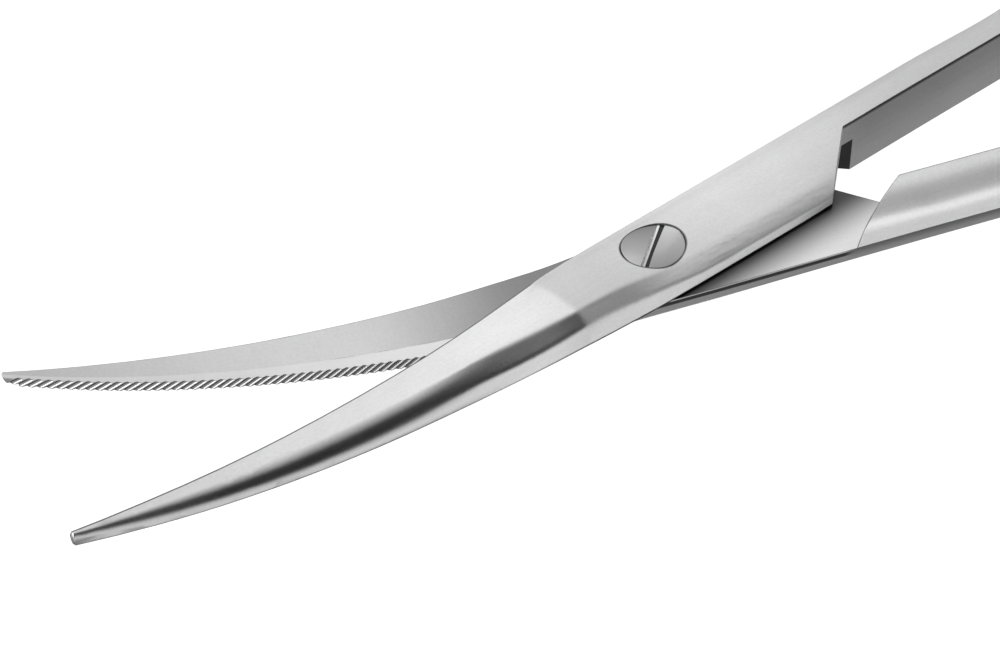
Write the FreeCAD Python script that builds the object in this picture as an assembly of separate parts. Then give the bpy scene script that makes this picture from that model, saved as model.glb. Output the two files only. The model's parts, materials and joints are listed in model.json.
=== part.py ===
import FreeCAD, Part
import math
import os

os.makedirs("parts", exist_ok=True)

# All lengths in millimetres, angles in degrees.
# Each half is drawn in its own closed frame: pivot on the Z axis, handles along +X,
# blade along -X, height zero on the plane where the two halves meet.
# "side" is the cutting side of the blade and also the ring side of the handle.

# Whole tool
opening_angle = 18.2
contact_height = 3.6
running_gap = 0.10
blade_length = 49.6
handle_end = 95.5

# Upward curve of both blades
bend_start = 7.6
tip_rise = 7.53
bend_power = 2.4

# Lap plates and shanks
side_width = 3.82
back_width = 3.90
lap_top = 2.70
shank_top = 2.38
shank_bottom = 3.59
shank_ridge = -0.3
shank_round = 0.90
rest_lap = 1.50
side_wall = 1.235
ridge_shank = -0.8
ridge_blade = -0.3
ridge_run_out = 6.0
inner_wall = 0.68
shoulder_corner_x = 15.10
shoulder_corner_y = -3.94
shoulder_angle = 42.2
step_clearance = 0.17
step_angle = 34.0
front_step_shift = 1.2

# Blade section heights above the meeting face
edge_height = 0.98
back_height = 0.20
root_crest = 2.55
tip_crest = 0.68
crest_run_out = 22.0
spine_round = 0.95
nose_round = 0.4
nose_height = 0.9

# Hollow grinding of the inner faces
hollow_depth = 0.16
land_tip = 0.35
land_root = 1.70
hollow_root = 9.0

# Bowed shank and finger ring
bow_start = 42.0
bow_end = 65.3
bow_offset = 10.9
bow_fade = 19.0
shank_half_width = 1.75
shank_half_height = 1.95
ring_flare = 3.2
ring_half_x = 14.3
ring_half_y = 11.4
ring_end_radius = 9.6
ring_bar = 2.1
ring_centre_y = 14.0

# Pivot screw
head_radius = 2.50
head_depth = 1.15
head_cone = 0.85
screw_radius = 1.50
hole_clearance = 0.05
head_dome_radius = 16.0
slot_width = 0.62
slot_depth = 0.62
slot_angle = 45.7

# Serrations on the cutting edge of the rear blade
tooth_pitch = 0.66
tooth_depth = 0.15
tooth_slant = 45.0
tooth_run_out = 0.12
tooth_first = 11.0
tooth_last = 48.5

# Outline values that differ between the two halves
FRONT = {"sign": 1.0, "edge_root": 3.70, "edge_tip": -0.20, "edge_belly": 0.9,
         "back_root": 3.38, "back_tip": 0.84, "back_belly": 1.1, "ridge_lap": -2.1}
REAR = {"sign": -1.0, "edge_root": 3.90, "edge_tip": -0.05, "edge_belly": 1.4,
        "back_root": 2.92, "back_tip": 0.70, "back_belly": 1.5, "ridge_lap": -0.9}
blade_root = 8.0


def vec(x, y, z):
    """Point or direction."""
    return FreeCAD.Vector(x, y, z)


def rise(radius):
    """Height of the meeting face at a distance from the pivot, on the blade side."""
    if radius <= bend_start:
        return 0.0
    share = (radius - bend_start) / (blade_length - bend_start)
    return tip_rise * share ** bend_power


def base_height(x):
    """Height of the meeting face along the middle line of a half."""
    return rise(-x) if x < 0 else 0.0


def blend(low, high, share):
    """Value that runs smoothly from low to high while share runs from 0 to 1."""
    t = min(max(share, 0.0), 1.0)
    return low + (high - low) * t * t * (3 - 2 * t)


def blade_limit(x, root, tip, belly):
    """Half width on one side of the blade, with a slight belly."""
    s = (-x - blade_root) / (blade_length - blade_root)
    return root * (1 - s) + tip * s + belly * s * s * (1 - s)


def side_limit(x, half):
    """Cutting side of the blade, then ring side of the lap, shank and bow."""
    if x <= -blade_root:
        return blade_limit(x, half["edge_root"], half["edge_tip"], half["edge_belly"])
    if x <= bow_start:
        return side_width - (side_width - half["edge_root"]) * math.exp(-(x + blade_root) / 1.5)
    centre, width = bow_line(x)
    return centre + width


def back_limit(x, half):
    """Spine of the blade, then inner side of the lap, shank and bow."""
    if x <= -blade_root:
        return -blade_limit(x, half["back_root"], half["back_tip"], half["back_belly"])
    full = -back_width + (back_width - half["back_root"]) * math.exp(-(x + blade_root) / 6.0)
    if x <= bow_start:
        return full
    centre, width = bow_line(x)
    fade = max(0.0, 1 - (x - bow_start) / bow_fade)
    return centre - width + (full - side_width + 2 * shank_half_width) * fade * fade


def bow_line(x):
    """Middle line and half width of the bowed shank."""
    t = (x - bow_start) / (bow_end - bow_start)
    sweep = 0.5 * t * t * (3 - 2 * t) + 0.5 * t ** 1.5
    centre = side_width - shank_half_width + bow_offset * sweep
    width = shank_half_width + ring_flare * t ** 9
    return centre, width


def crown(t, power, root):
    """Relative height of a section, 1 on the ridge and 0 at its sides."""
    return (1 - min(abs(t), 1.0) ** power) ** root


def rolled(t, power, share):
    """Relative height of a slope that rolls over, using only a share of the full curve."""
    low = math.sqrt(1 - share ** power)
    return (math.sqrt(1 - (share * min(abs(t), 1.0)) ** power) - low) / (1 - low)


def blade_shape(x, half):
    """Heights and roundness of the blade at a station."""
    u = -x - blade_root
    s = u / (blade_length - blade_root)
    crest = tip_crest + (root_crest - tip_crest) * math.exp(-u / crest_run_out)
    edge = min(blend(side_wall, edge_height, s * 4), crest - 0.06)
    return {"crest": crest, "edge": edge, "back": back_height,
            "power": 2.4 - 1.3 * min(s * 4, 1), "root": 1.0, "spine": 2.0 - 0.4 * min(s * 4, 1),
            "under": 3.5 - 2.6 * s, "low": -0.1, "handle": 0.0, "full": 0.98,
            "ridge": ridge_blade + (half["ridge_lap"] - ridge_blade) * math.exp(-u / ridge_run_out)}


def section_shape(x, half):
    """Heights and roundness of the bar at a station."""
    if x <= -blade_root:
        return blade_shape(x, half)
    t = blend(0, 1, (x - bow_start) / (bow_end - bow_start - 4))
    crest = root_crest + (lap_top - root_crest) * blend(0, 1, (x + blade_root) / 6)
    crest = blend(crest, shank_top, (x + 2) / 24)
    handle = blend(0, 1, (x - 14) / 10)
    back = back_height + (side_wall - back_height) * handle
    return {"crest": crest + (shank_half_height - crest) * t,
            "edge": side_wall + (0.3 - side_wall) * t,
            "back": back + (0.3 - back) * t,
            "power": 2.4 - 0.4 * t,
            "root": 1.0 - 0.5 * t,
            "spine": 2.0,
            "under": shank_bottom + (shank_half_height - shank_bottom) * t,
            "handle": handle * (1 - t),
            "full": 0.98 + (shank_round - 0.98) * handle * (1 - t),
            "low": -0.3 * t,
            "ridge": (half["ridge_lap"] + (ridge_shank - half["ridge_lap"]) * handle) * (1 - t)}


def lap_extra(x):
    """Added depth of the rear lap, which carries the flat resting face."""
    return rest_lap * blend(0, 1, (x + 17) / 12) * blend(1, 0, (x - 8) / 12)


def section_wire(x, half):
    """Closed outline of the bar at a station, later trimmed at the meeting face."""
    sign = half["sign"]
    shape = section_shape(x, half)
    if sign < 0:
        shape["crest"] += lap_extra(x)
    hi = side_limit(x, half)
    lo = back_limit(x, half)
    mid = (hi + lo) / 2
    crest = shape["crest"]
    edge = shape["edge"]
    back = shape["back"]
    ridge = shape["ridge"]
    if x > bow_start:
        fade = blend(0, 1, (x - bow_start) / 10)
        ridge = ridge * (1 - fade) + mid * fade
    if x < -blade_length + 7:
        ridge += (mid - ridge) * (-blade_length + 7 - x) / 14
    floor = base_height(x)
    top = []
    under = []
    for t in [1.0, 0.9, 0.6, 0.25, 0.0, -0.3, -0.6, -0.8, -0.92, -1.0]:
        if t >= 0:
            y = ridge + (hi - ridge) * t
            up = edge + (crest - edge) * crown(t, shape["power"], shape["root"])
        else:
            y = ridge + (ridge - lo) * t
            up = back + (crest - back) * rolled(t, shape["spine"], spine_round)
        top.append(vec(x, sign * y, floor + sign * up))
    heel = mid + (shank_ridge - mid) * shape["handle"]
    for t in [1.0, 0.9, 0.65, 0.35, 0.0, -0.5, -0.85, -1.0]:
        y = heel + ((hi - heel) if t >= 0 else (heel - lo)) * t
        down = shape["low"] - (shape["under"] + shape["low"]) * rolled(t, 2, shape["full"])
        under.append(vec(x, sign * y, floor + sign * down))
    top_curve = Part.BSplineCurve()
    top_curve.interpolate(top)
    under_curve = Part.BSplineCurve()
    under_curve.interpolate(list(reversed(under)))
    edges = [top_curve.toShape(), Part.makeLine(top[-1], under[-1]),
             under_curve.toShape(), Part.makeLine(under[0], top[0])]
    return Part.Wire(edges)


def bar(half):
    """Blade, lap, shank and bow of one half as one smooth bar."""
    stations = [-blade_length, -45, -39, -32, -25, -18, -12, -8, -4, 2, 9, 16, 24, 33, 42]
    stations += [47, 52, 57, 61.5, bow_end]
    bar_shape = Part.makeLoft([section_wire(x, half) for x in stations], True, False)
    return bar_shape.cut(nose_tool(half))


def nose_tool(half):
    """What lies outside the small nose at the blade's tip, rounded in plan and in height."""
    sign = half["sign"]
    hi = side_limit(-blade_length, half) + nose_round / 2
    lo = back_limit(-blade_length, half) - nose_round / 2
    low = tip_rise - 4
    a = vec(nose_round - blade_length, sign * hi, low)
    b = vec(-blade_length, sign * (hi + lo) / 2, low)
    c = vec(nose_round - blade_length, sign * lo, low)
    d = vec(-blade_length - 2, sign * lo, low)
    e = vec(-blade_length - 2, sign * hi, low)
    outline = Part.Wire([Part.Arc(a, b, c).toShape(), Part.makeLine(c, d), Part.makeLine(d, e),
                         Part.makeLine(e, a)])
    plan_tool = Part.Face(outline).extrude(vec(0, 0, 8))
    start = vec(-blade_length, -4, tip_rise + sign * 0.1)
    end = vec(nose_height - blade_length, -4, tip_rise + sign * (nose_height + 0.1))
    lean = nose_height * (1 - math.sqrt(0.5))
    middle = vec(lean - blade_length, -4, tip_rise + sign * (nose_height - lean + 0.1))
    top = vec(end.x, -4, tip_rise + sign * 5)
    corner = vec(-blade_length - 2, -4, top.z)
    foot = vec(corner.x, -4, start.z)
    profile = Part.Wire([Part.Arc(start, middle, end).toShape(), Part.makeLine(end, top),
                         Part.makeLine(top, corner), Part.makeLine(corner, foot),
                         Part.makeLine(foot, start)])
    return [plan_tool, Part.Face(profile).extrude(vec(0, 8, 0))]


def ring_arc(centre_x, centre_y, radius, middle, spread):
    """Piece of round bar bent to an arc about an upright axis."""
    start = vec(centre_x, centre_y, 0)
    circle = Part.makeCircle(ring_bar, vec(centre_x + radius, centre_y, 0), vec(0, 1, 0))
    disc = Part.Face(Part.Wire(circle))
    disc.rotate(start, vec(0, 0, 1), middle - spread)
    return disc.revolve(start, vec(0, 0, 1), 2 * spread)


def finger_ring(half):
    """Oval finger ring of round bar: two tight arcs and two wide arcs that run into each other."""
    sign = half["sign"]
    centre_x = handle_end - ring_half_x - ring_bar
    shift = ring_half_x - ring_end_radius
    rise_part = shift * shift + ring_half_y ** 2 - ring_end_radius ** 2
    wide = rise_part / (2 * (ring_half_y - ring_end_radius))
    drop = wide - ring_half_y
    turn = math.degrees(math.atan2(drop, shift))
    pieces = [ring_arc(shift, 0, ring_end_radius, 0, turn),
              ring_arc(0, -drop, wide, 90, 90 - turn),
              ring_arc(-shift, 0, ring_end_radius, 180, turn),
              ring_arc(0, drop, wide, 270, 90 - turn)]
    ring = pieces[0].fuse(pieces[1:]).removeSplitter()
    ring.translate(vec(centre_x, sign * ring_centre_y, 0))
    return ring


def meeting_block(sign, gap):
    """Everything on the far side of the meeting face, on both sides of the pivot."""
    level = sign * gap / 2
    far = -sign * 14
    count = 12
    reach = blade_length + 4
    points = [vec(bend_start + (reach - bend_start) * i / count, 0, 0) for i in range(count + 1)]
    points = [vec(p.x, 0, rise(p.x) + level) for p in points]
    curve = Part.BSplineCurve()
    curve.interpolate(points)
    lines = [Part.makeLine(vec(0, 0, level), points[0]), curve.toShape(),
             Part.makeLine(points[-1], vec(reach, 0, far)),
             Part.makeLine(vec(reach, 0, far), vec(0, 0, far)),
             Part.makeLine(vec(0, 0, far), vec(0, 0, level))]
    face = Part.Face(Part.Wire(lines))
    blade_side = face.revolve(vec(0, 0, 0), vec(0, 0, 1), 180)
    blade_side.rotate(vec(0, 0, 0), vec(0, 0, 1), 90)
    low = min(level, far)
    handle_side = Part.makeBox(44, 24, abs(far - level), vec(0, -12, low))
    return blade_side, handle_side


def prism(points, sign):
    """Upright prism over a plan outline of one half."""
    corners = [vec(x, sign * y, -9) for x, y in points]
    face = Part.Face(Part.makePolygon(corners + [corners[0]]))
    return face.extrude(vec(0, 0, 18))


def shoulder_x(y):
    """Oblique end of the lap plate at a given offset."""
    return shoulder_corner_x + (y - shoulder_corner_y) / math.tan(math.radians(shoulder_angle))


def step_x(y, shift):
    """Foot of the step where the shank takes its full depth, facing the other half's shoulder."""
    corner = shoulder_corner_x + step_clearance / math.sin(math.radians(step_angle))
    return corner + shift + (-shoulder_corner_y - y) / math.tan(math.radians(step_angle))


def hollow_tool(half):
    """Shallow hollow of the inner blade face behind the narrow flat land."""
    sign = half["sign"]
    wires = []
    for u in (hollow_root, 13.0, 18.0, 24.0, 30.0, 36.0, 42.0, 47.0, blade_length + 1.5):
        s = (u - hollow_root) / (blade_length - hollow_root)
        land = land_root + (land_tip - land_root) * min(s, 1.0)
        depth = hollow_depth * blend(0.05, 1.0, s * 4)
        y_land = side_limit(-u, half) - land
        y_back = back_limit(-u, half) - 0.8
        level = rise(u) + sign * running_gap / 2
        a = vec(-u, sign * y_land, level)
        m = vec(-u, sign * (y_land + y_back) / 2, level + sign * depth * 0.72)
        b = vec(-u, sign * y_back, level + sign * depth)
        c = vec(-u, sign * y_back, level - sign * 1.5)
        d = vec(-u, sign * y_land, level - sign * 1.5)
        wires.append(Part.Wire([Part.Arc(a, m, b).toShape(), Part.makeLine(b, c),
                                Part.makeLine(c, d), Part.makeLine(d, a)]))
    return Part.makeLoft(wires, True, False)


def tooth_cutters():
    """Slanted V grooves across the edge wall of the rear blade."""
    sign = REAR["sign"]
    cutters = []
    count = int((tooth_last - tooth_first) / tooth_pitch)
    for i in range(count + 1):
        u = tooth_last - i * tooth_pitch
        y0 = sign * side_limit(-u, REAR)
        y1 = sign * side_limit(-u + 0.2, REAR)
        here = vec(-u, y0, rise(u) - running_gap / 2)
        there = vec(-u + 0.2, y1, rise(u - 0.2) - running_gap / 2)
        along = there.sub(here).normalize()
        out = vec(along.y, -along.x, 0).normalize()
        up = out.cross(along).normalize()
        if up.z < 0:
            up = up.multiply(-1)
        slant = math.radians(tooth_slant)
        axis = along * math.cos(slant) + up * math.sin(slant)
        across = axis.cross(out).normalize()
        half_v = 0.46 * tooth_pitch * math.sin(slant)
        spread = 1 + tooth_run_out / tooth_depth
        start = here - axis * 1.75
        a = start + across * half_v * spread + out * tooth_run_out
        b = start - across * half_v * spread + out * tooth_run_out
        c = start - out * tooth_depth
        tri = Part.Face(Part.makePolygon([a, b, c, a]))
        cutters.append(tri.extrude(axis * 2.4))
    return cutters


def half_body(half, shift):
    """One forged half: bar and ring, trimmed at the meeting face, shoulder and step."""
    sign = half["sign"]
    body = bar(half).fuse(finger_ring(half))
    blade_side, handle_side = meeting_block(sign, running_gap)
    plan = [(-1, -12), (30, -12), (30, inner_wall), (step_x(inner_wall, shift), inner_wall),
            (step_x(9, shift), 9), (-1, 12)]
    handle_side = handle_side.common(prism(plan, sign))
    beyond = [(shoulder_x(inner_wall), inner_wall), (shoulder_x(-9), -9), (72, -9), (72, inner_wall)]
    body = body.cut(blade_side)
    body = body.cut(handle_side)
    body = body.cut(prism(beyond, sign))
    body = body.cut(hollow_tool(half))
    return body.removeSplitter()


def place(shape, half):
    """Turn a half to its open rest position and lift it to the resting plane."""
    shape.rotate(vec(0, 0, 0), vec(0, 0, 1), half["sign"] * opening_angle / 2)
    shape.translate(vec(0, 0, contact_height))
    return shape


def front_half():
    """Front half with the countersunk seat of the screw head."""
    body = half_body(FRONT, front_step_shift)
    seat = lap_top - head_depth
    wide = head_radius + hole_clearance
    narrow = screw_radius + hole_clearance
    body = body.cut(Part.makeCylinder(wide, 4, vec(0, 0, seat)))
    body = body.cut(Part.makeCone(narrow, wide, head_cone, vec(0, 0, seat - head_cone)))
    body = body.cut(Part.makeCylinder(narrow, 4, vec(0, 0, -1)))
    return body


def rear_half():
    """Rear half with serrated edge, flat resting face and screw hole."""
    body = half_body(REAR, 0.0)
    teeth = tooth_cutters()
    body = body.cut(teeth[0::2])
    body = body.cut(teeth[1::2])
    body = body.cut(Part.makeBox(60, 20, 4, vec(-30, -10, -contact_height - 4)))
    body = body.cut(Part.makeCylinder(screw_radius, 10, vec(0, 0, -7)))
    return body


def pivot_screw():
    """Flush slotted screw, its head following the top of the lap it sits in."""
    seat = lap_top - head_depth
    lap = Part.makeLoft([section_wire(x, FRONT) for x in (-8, -4, 2, 9)], True, False)
    head = Part.makeCylinder(head_radius, 4, vec(0, 0, seat)).common(lap)
    dome = Part.makeSphere(head_dome_radius, vec(0, 0, lap_top - head_dome_radius))
    head = head.common(dome)
    cone = Part.makeCone(screw_radius, head_radius, head_cone, vec(0, 0, seat - head_cone))
    shank_low = -contact_height
    shank = Part.makeCylinder(screw_radius, seat - head_cone - shank_low, vec(0, 0, shank_low))
    screw = shank.fuse(cone).fuse(head).removeSplitter()
    slot = Part.makeBox(8, slot_width, 3, vec(-4, -slot_width / 2, lap_top - slot_depth))
    slot.rotate(vec(0, 0, 0), vec(0, 0, 1), slot_angle)
    return screw.cut(slot)


front = front_half()
rear = rear_half()
screw = pivot_screw()
place(front, FRONT).exportStep("parts/front_half.step")
place(rear, REAR).exportStep("parts/rear_half.step")
screw.translate(vec(0, 0, contact_height))
screw.exportStep("parts/pivot_screw.step")
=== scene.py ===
"""Curved suture scissors in satin steel: ground finishes, soft studio light and the camera."""

import json
import logging
import math
from dataclasses import dataclass, field
from enum import Enum
from typing import Any, Optional, Sequence, Union

import bpy
from mathutils import Matrix, Vector

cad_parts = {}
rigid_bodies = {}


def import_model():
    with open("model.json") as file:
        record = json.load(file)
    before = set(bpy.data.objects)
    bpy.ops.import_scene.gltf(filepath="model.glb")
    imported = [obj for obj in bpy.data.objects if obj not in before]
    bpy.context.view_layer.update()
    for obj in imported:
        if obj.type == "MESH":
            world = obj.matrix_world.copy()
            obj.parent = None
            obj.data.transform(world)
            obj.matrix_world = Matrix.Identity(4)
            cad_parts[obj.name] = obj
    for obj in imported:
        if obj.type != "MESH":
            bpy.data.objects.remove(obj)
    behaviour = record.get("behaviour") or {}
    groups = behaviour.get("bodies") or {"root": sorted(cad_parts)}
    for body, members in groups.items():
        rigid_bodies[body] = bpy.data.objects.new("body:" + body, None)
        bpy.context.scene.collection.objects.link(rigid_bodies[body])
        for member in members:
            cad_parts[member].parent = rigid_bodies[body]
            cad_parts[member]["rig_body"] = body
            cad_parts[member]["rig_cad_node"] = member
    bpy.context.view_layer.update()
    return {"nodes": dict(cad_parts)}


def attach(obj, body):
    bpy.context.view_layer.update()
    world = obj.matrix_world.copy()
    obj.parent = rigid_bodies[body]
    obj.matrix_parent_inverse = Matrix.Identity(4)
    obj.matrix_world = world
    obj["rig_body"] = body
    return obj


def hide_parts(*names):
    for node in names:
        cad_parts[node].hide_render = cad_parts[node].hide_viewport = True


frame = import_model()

log = logging.getLogger("suture_scissors")

MM = 0.001
EDGE_DEPTH = "edge_depth"
TILT = "tilt"
HALF_OPENING = math.radians(9.1)
SLOT_ANGLE = math.radians(45.7)

Colour = tuple[float, float, float, float]
Span = tuple[float, float]

BLACK: Colour = (0.0, 0.0, 0.0, 1.0)
STEEL_WHITE: Colour = (1.0, 1.0, 1.004, 1.0)


class Face(Enum):
    """Kinds of surface on a half, in the order of their material slots."""

    OUTER = 0
    HOLLOW = 1
    LAND = 2
    TOOTH = 3
    GROOVE = 4
    WALL = 5
    STEP = 6
    RIM = 7
    LAP = 8


class ScrewFace(Enum):
    """Kinds of surface on the screw, in the order of their material slots."""

    HEAD = 0
    SLOT = 1
    SLOT_WALL = 2


class Side(Enum):
    """Which half a piece belongs to, as the sign of its turn about the pivot."""

    FRONT = 1
    REAR = -1


class Value:
    """A number socket of a shader, on which Python arithmetic adds Math nodes."""

    def __init__(self, graph: "Graph", socket: bpy.types.NodeSocket) -> None:
        """Keeps the output socket that carries the number, and its graph."""
        self.graph = graph
        self.socket = socket

    def _math(self, operation: str, first: Any, second: Any) -> "Value":
        """Adds one Math node for two values, each a number or a Value."""
        node = self.graph.node("ShaderNodeMath", {"operation": operation}, {0: first, 1: second})
        return Value(self.graph, node.outputs[0])

    def __add__(self, other: Any) -> "Value":
        """Sum."""
        return self._math("ADD", self, other)

    def __radd__(self, other: Any) -> "Value":
        """Sum with the number first."""
        return self._math("ADD", other, self)

    def __sub__(self, other: Any) -> "Value":
        """Difference."""
        return self._math("SUBTRACT", self, other)

    def __rsub__(self, other: Any) -> "Value":
        """Difference with the number first."""
        return self._math("SUBTRACT", other, self)

    def __mul__(self, other: Any) -> "Value":
        """Product."""
        return self._math("MULTIPLY", self, other)

    def __rmul__(self, other: Any) -> "Value":
        """Product with the number first."""
        return self._math("MULTIPLY", other, self)

    def root(self) -> "Value":
        """Square root."""
        return self._math("SQRT", self, 0.0)

    def ramp(self, start: float, end: float) -> "Value":
        """Smooth rise from 0 at start to 1 at end.

        Args:
            start: the value below which the result is 0.
            end: the value above which the result is 1.

        Returns:
            The eased mask.
        """
        node = self.graph.node(
            "ShaderNodeMapRange",
            {"interpolation_type": "SMOOTHSTEP"},
            {0: self, 1: start, 2: end, 3: 0.0, 4: 1.0},
        )
        return Value(self.graph, node.outputs[0])


@dataclass(frozen=True)
class Noise:
    """Cloudy noise: cells per millimetre, number of finer layers and how strong those are."""

    scale: float
    detail: float
    rough: float


Level = Union[float, Value]
Levels = tuple[Level, Level, Level]


class Graph:
    """The shader graph of one material or of the world."""

    def __init__(self, tree: bpy.types.NodeTree) -> None:
        """Takes over a node tree and empties it."""
        self.tree = tree
        self.tree.nodes.clear()

    def node(
        self,
        kind: str,
        settings: Optional[dict[str, Any]] = None,
        inputs: Optional[dict[Union[int, str], Any]] = None,
    ) -> bpy.types.Node:
        """Adds a node, with its settings made before its sockets are filled.

        Args:
            kind: the node's type.
            settings: properties of the node, or "stops" for a colour ramp's list of places and colours.
            inputs: numbers, colours, Values or output sockets, by the input's name or place.

        Returns:
            The new node.
        """
        made = self.tree.nodes.new(kind)
        for name, value in (settings or {}).items():
            if name == "stops":
                self._fill_ramp(made.color_ramp, value)
            else:
                setattr(made, name, value)
        for key, value in (inputs or {}).items():
            socket = made.inputs[key]
            if isinstance(value, Value):
                self.tree.links.new(value.socket, socket)
            elif isinstance(value, bpy.types.NodeSocket):
                self.tree.links.new(value, socket)
            else:
                socket.default_value = value
        return made

    @staticmethod
    def _fill_ramp(ramp: bpy.types.ColorRamp, stops: Sequence[tuple[float, Colour]]) -> None:
        """Sets a ramp's stops.

        Args:
            ramp: the ramp of a ColorRamp node.
            stops: places from 0 to 1 with their colours, in rising order.
        """
        ramp.interpolation = "EASE"
        while len(ramp.elements) > 1:
            ramp.elements.remove(ramp.elements[-1])
        ramp.elements[0].position = stops[0][0]
        ramp.elements[0].color = stops[0][1]
        for place, colour in stops[1:]:
            element = ramp.elements.new(place)
            element.color = colour

    def noise(self, vector: bpy.types.NodeSocket, kind: Noise) -> Value:
        """Cloudy noise.

        Args:
            vector: the coordinates, in millimetres.
            kind: how coarse and how rough it is.

        Returns:
            A number round 0.5.
        """
        made = self.node(
            "ShaderNodeTexNoise",
            {"noise_dimensions": "3D"},
            {"Vector": vector, "Scale": kind.scale, "Detail": kind.detail, "Roughness": kind.rough},
        )
        return Value(self, made.outputs[0])

    def axes(self, vector: bpy.types.NodeSocket) -> tuple[Value, Value, Value]:
        """Parts a vector into its numbers along x, y and z."""
        outputs = self.node("ShaderNodeSeparateXYZ", None, {0: vector}).outputs
        return Value(self, outputs[0]), Value(self, outputs[1]), Value(self, outputs[2])

    def own_place(self, turn: float = 0.0) -> bpy.types.NodeSocket:
        """The piece's own coordinates in millimetres.

        Args:
            turn: how far they are turned about the pivot.

        Returns:
            The coordinates.
        """
        place = self.node("ShaderNodeTexCoord").outputs["Object"]
        sockets = {"Vector": place, "Rotation": (0.0, 0.0, turn), "Scale": (1 / MM, 1 / MM, 1 / MM)}
        return self.node("ShaderNodeMapping", {"vector_type": "POINT"}, sockets).outputs[0]

    def noted(self, name: str) -> Value:
        """Reads the number that is noted at the mesh's corners under a name."""
        return Value(self, self.node("ShaderNodeAttribute", {"attribute_name": name}).outputs["Fac"])

    def rounded(self, radius: float, samples: int) -> bpy.types.NodeSocket:
        """Direction of the surface with its edges rounded, by a radius in millimetres."""
        return self.node("ShaderNodeBevel", {"samples": samples}, {"Radius": radius * MM}).outputs[0]

    def relief(
        self, strength: float, depth: float, height: Value, facing: bpy.types.NodeSocket
    ) -> bpy.types.NodeSocket:
        """Direction of the surface once a fine relief has changed the one in which it was facing."""
        inputs = {"Strength": strength, "Distance": depth, "Height": height, "Normal": facing}
        return self.node("ShaderNodeBump", None, inputs).outputs[0]

    def surface(self, inputs: dict[str, Any]) -> None:
        """Ends a material in one surface, with its inputs by their names."""
        shader = self.node("ShaderNodeBsdfPrincipled", None, inputs)
        self.node("ShaderNodeOutputMaterial", None, {"Surface": shader.outputs[0]})

    def steel(self, tone: Value, metal: Level, roughness: Level, facing: bpy.types.NodeSocket) -> None:
        """Ends a material in one steel surface.

        Args:
            tone: how bright it is, 0 for black.
            metal: how much of it is bare metal.
            roughness: its roughness.
            facing: the direction in which it looks, with its fine relief.
        """
        colour = self.steel_grey(tone)
        self.surface({"Base Color": colour, "Metallic": metal, "Roughness": roughness, "Normal": facing})

    def steel_grey(self, level: Value) -> bpy.types.NodeSocket:
        """Turns a tone, 0 for black, into a nearly neutral grey."""
        ends = {0: level, 6: BLACK, 7: STEEL_WHITE}
        return self.node("ShaderNodeMix", {"data_type": "RGBA", "blend_type": "MIX"}, ends).outputs[2]


def new_material(name: str) -> tuple[bpy.types.Material, Graph]:
    """Starts a material.

    Args:
        name: its name.

    Returns:
        The material and its empty graph.
    """
    made = bpy.data.materials.new(name)
    made.use_nodes = True
    return made, Graph(made.node_tree)


@dataclass(frozen=True)
class Steel:
    """Stainless steel with fine lines, grain and clouds, in one kind of finish, with painted shade along
    its edges.
    """

    name: str
    side: Side = Side.FRONT
    tone: float = 0.80
    roughness: float = 0.50
    lines: tuple[float, float, float] = (0.10, 5.0, 5.0)
    line_share: float = 0.14
    grain_share: float = 0.22
    cloud_share: float = 0.10
    line_noise: Noise = Noise(1.0, 3.0, 0.65)
    grain_noise: Noise = Noise(4.2, 2.0, 0.65)
    cloud_noise: Noise = Noise(0.25, 3.0, 0.5)
    cloud_rough: float = 0.06
    grain_rough: float = 0.08
    bump: float = 0.30
    relief_depth: float = 0.02 * MM
    relief_share: float = 0.05
    metal: float = 1.0
    edge_round: float = 0.10
    edge_samples: int = 6
    edge_meet: Span = (0.01, 0.16)
    edge_painted_shade: float = 0.70

    def material(self) -> bpy.types.Material:
        """Builds the finish.

        Returns:
            The material.
        """
        made, graph = new_material(self.name)
        own = graph.own_place(-self.side.value * HALF_OPENING)
        pulled = graph.node("ShaderNodeVectorMath", {"operation": "MULTIPLY"}, {0: own, 1: self.lines})
        lines = graph.noise(pulled.outputs[0], self.line_noise)
        grain = graph.noise(own, self.grain_noise)
        cloud = graph.noise(own, self.cloud_noise)
        tone, rough, metal = self.levels(graph, own)
        texture = (
            (lines - 0.5) * self.line_share
            + (grain - 0.5) * self.grain_share
            + (cloud - 0.5) * self.cloud_share
        )
        rounded = graph.rounded(self.edge_round, self.edge_samples)
        flat = graph.node("ShaderNodeNewGeometry").outputs["Normal"]
        meet = graph.node("ShaderNodeVectorMath", {"operation": "DOT_PRODUCT"}, {0: rounded, 1: flat})
        # Painted shade: the tone darkens along every edge, where the rounded direction parts from the
        # flat one.
        edge = (1.0 - Value(graph, meet.outputs["Value"])).ramp(*self.edge_meet)
        shade = tone * (texture + 1.0) * (1.0 - edge * self.edge_painted_shade)
        uneven = rough + (cloud - 0.5) * self.cloud_rough + (grain - 0.5) * self.grain_rough
        height = lines * self.relief_share + grain * self.relief_share
        facing = graph.relief(self.bump, self.relief_depth, height, rounded)
        graph.steel(shade, metal, uneven, facing)
        return made

    def levels(self, graph: Graph, own: bpy.types.NodeSocket) -> Levels:
        """Tone, roughness and metal share over the surface, here the same all over."""
        return self.tone, self.roughness, self.metal


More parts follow.
